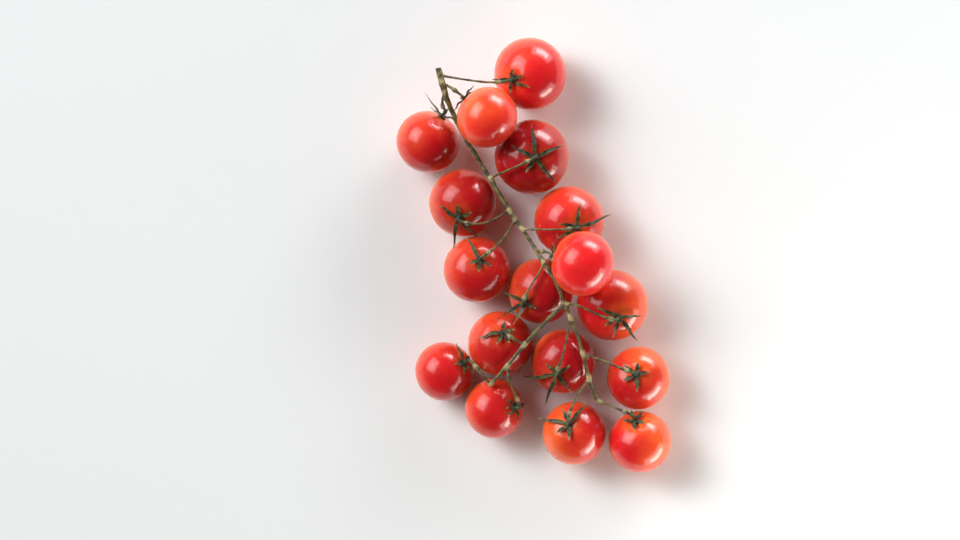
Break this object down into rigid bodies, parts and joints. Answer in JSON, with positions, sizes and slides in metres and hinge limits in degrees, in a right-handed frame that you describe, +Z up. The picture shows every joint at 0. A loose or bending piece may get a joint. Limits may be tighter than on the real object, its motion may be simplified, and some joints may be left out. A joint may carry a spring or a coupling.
{
  "type": "truss of cherry tomatoes",
  "caption": "Truss of ripe cherry tomatoes on their forked green stem, as picked, lying on a surface: fresh produce for a plate, board, market stall or kitchen scene.",
  "frame": {"origin": "on the surface the truss lies on, under the middle of the whole truss's box", "axes": "+Z up from the surface, +Y along the truss towards the stem's cut end, +X across it to the right as seen from above with the cut end up"},
  "size_m": [0.1146, 0.182, 0.0493],
  "materials": {
    "fruit_skin": "smooth, shiny, thin translucent skin, ripe red turning orange on some fruits",
    "stem_green": "dull olive green, finely ridged and downy, paler at the knuckles and the cut end",
    "calyx_green": "dull dark green, downy, almost black round the stalk"
  },
  "bodies": {
    "root": {"stem": "stem_green", "calyx_01": "calyx_green", "calyx_02": "calyx_green", "calyx_03": "calyx_green", "calyx_04": "calyx_green", "calyx_05": "calyx_green", "calyx_06": "calyx_green", "calyx_07": "calyx_green", "calyx_08": "calyx_green", "calyx_09": "calyx_green", "calyx_10": "calyx_green", "calyx_11": "calyx_green", "calyx_12": "calyx_green", "calyx_13": "calyx_green", "calyx_14": "calyx_green", "calyx_15": "calyx_green", "calyx_16": "calyx_green", "calyx_17": "calyx_green", "tomato_01": "fruit_skin", "tomato_02": "fruit_skin", "tomato_03": "fruit_skin", "tomato_04": "fruit_skin", "tomato_05": "fruit_skin", "tomato_06": "fruit_skin", "tomato_07": "fruit_skin", "tomato_08": "fruit_skin", "tomato_09": "fruit_skin", "tomato_10": "fruit_skin", "tomato_11": "fruit_skin", "tomato_12": "fruit_skin", "tomato_13": "fruit_skin", "tomato_14": "fruit_skin", "tomato_15": "fruit_skin", "tomato_16": "fruit_skin", "tomato_17": "fruit_skin"}
  },
  "joints": []
}
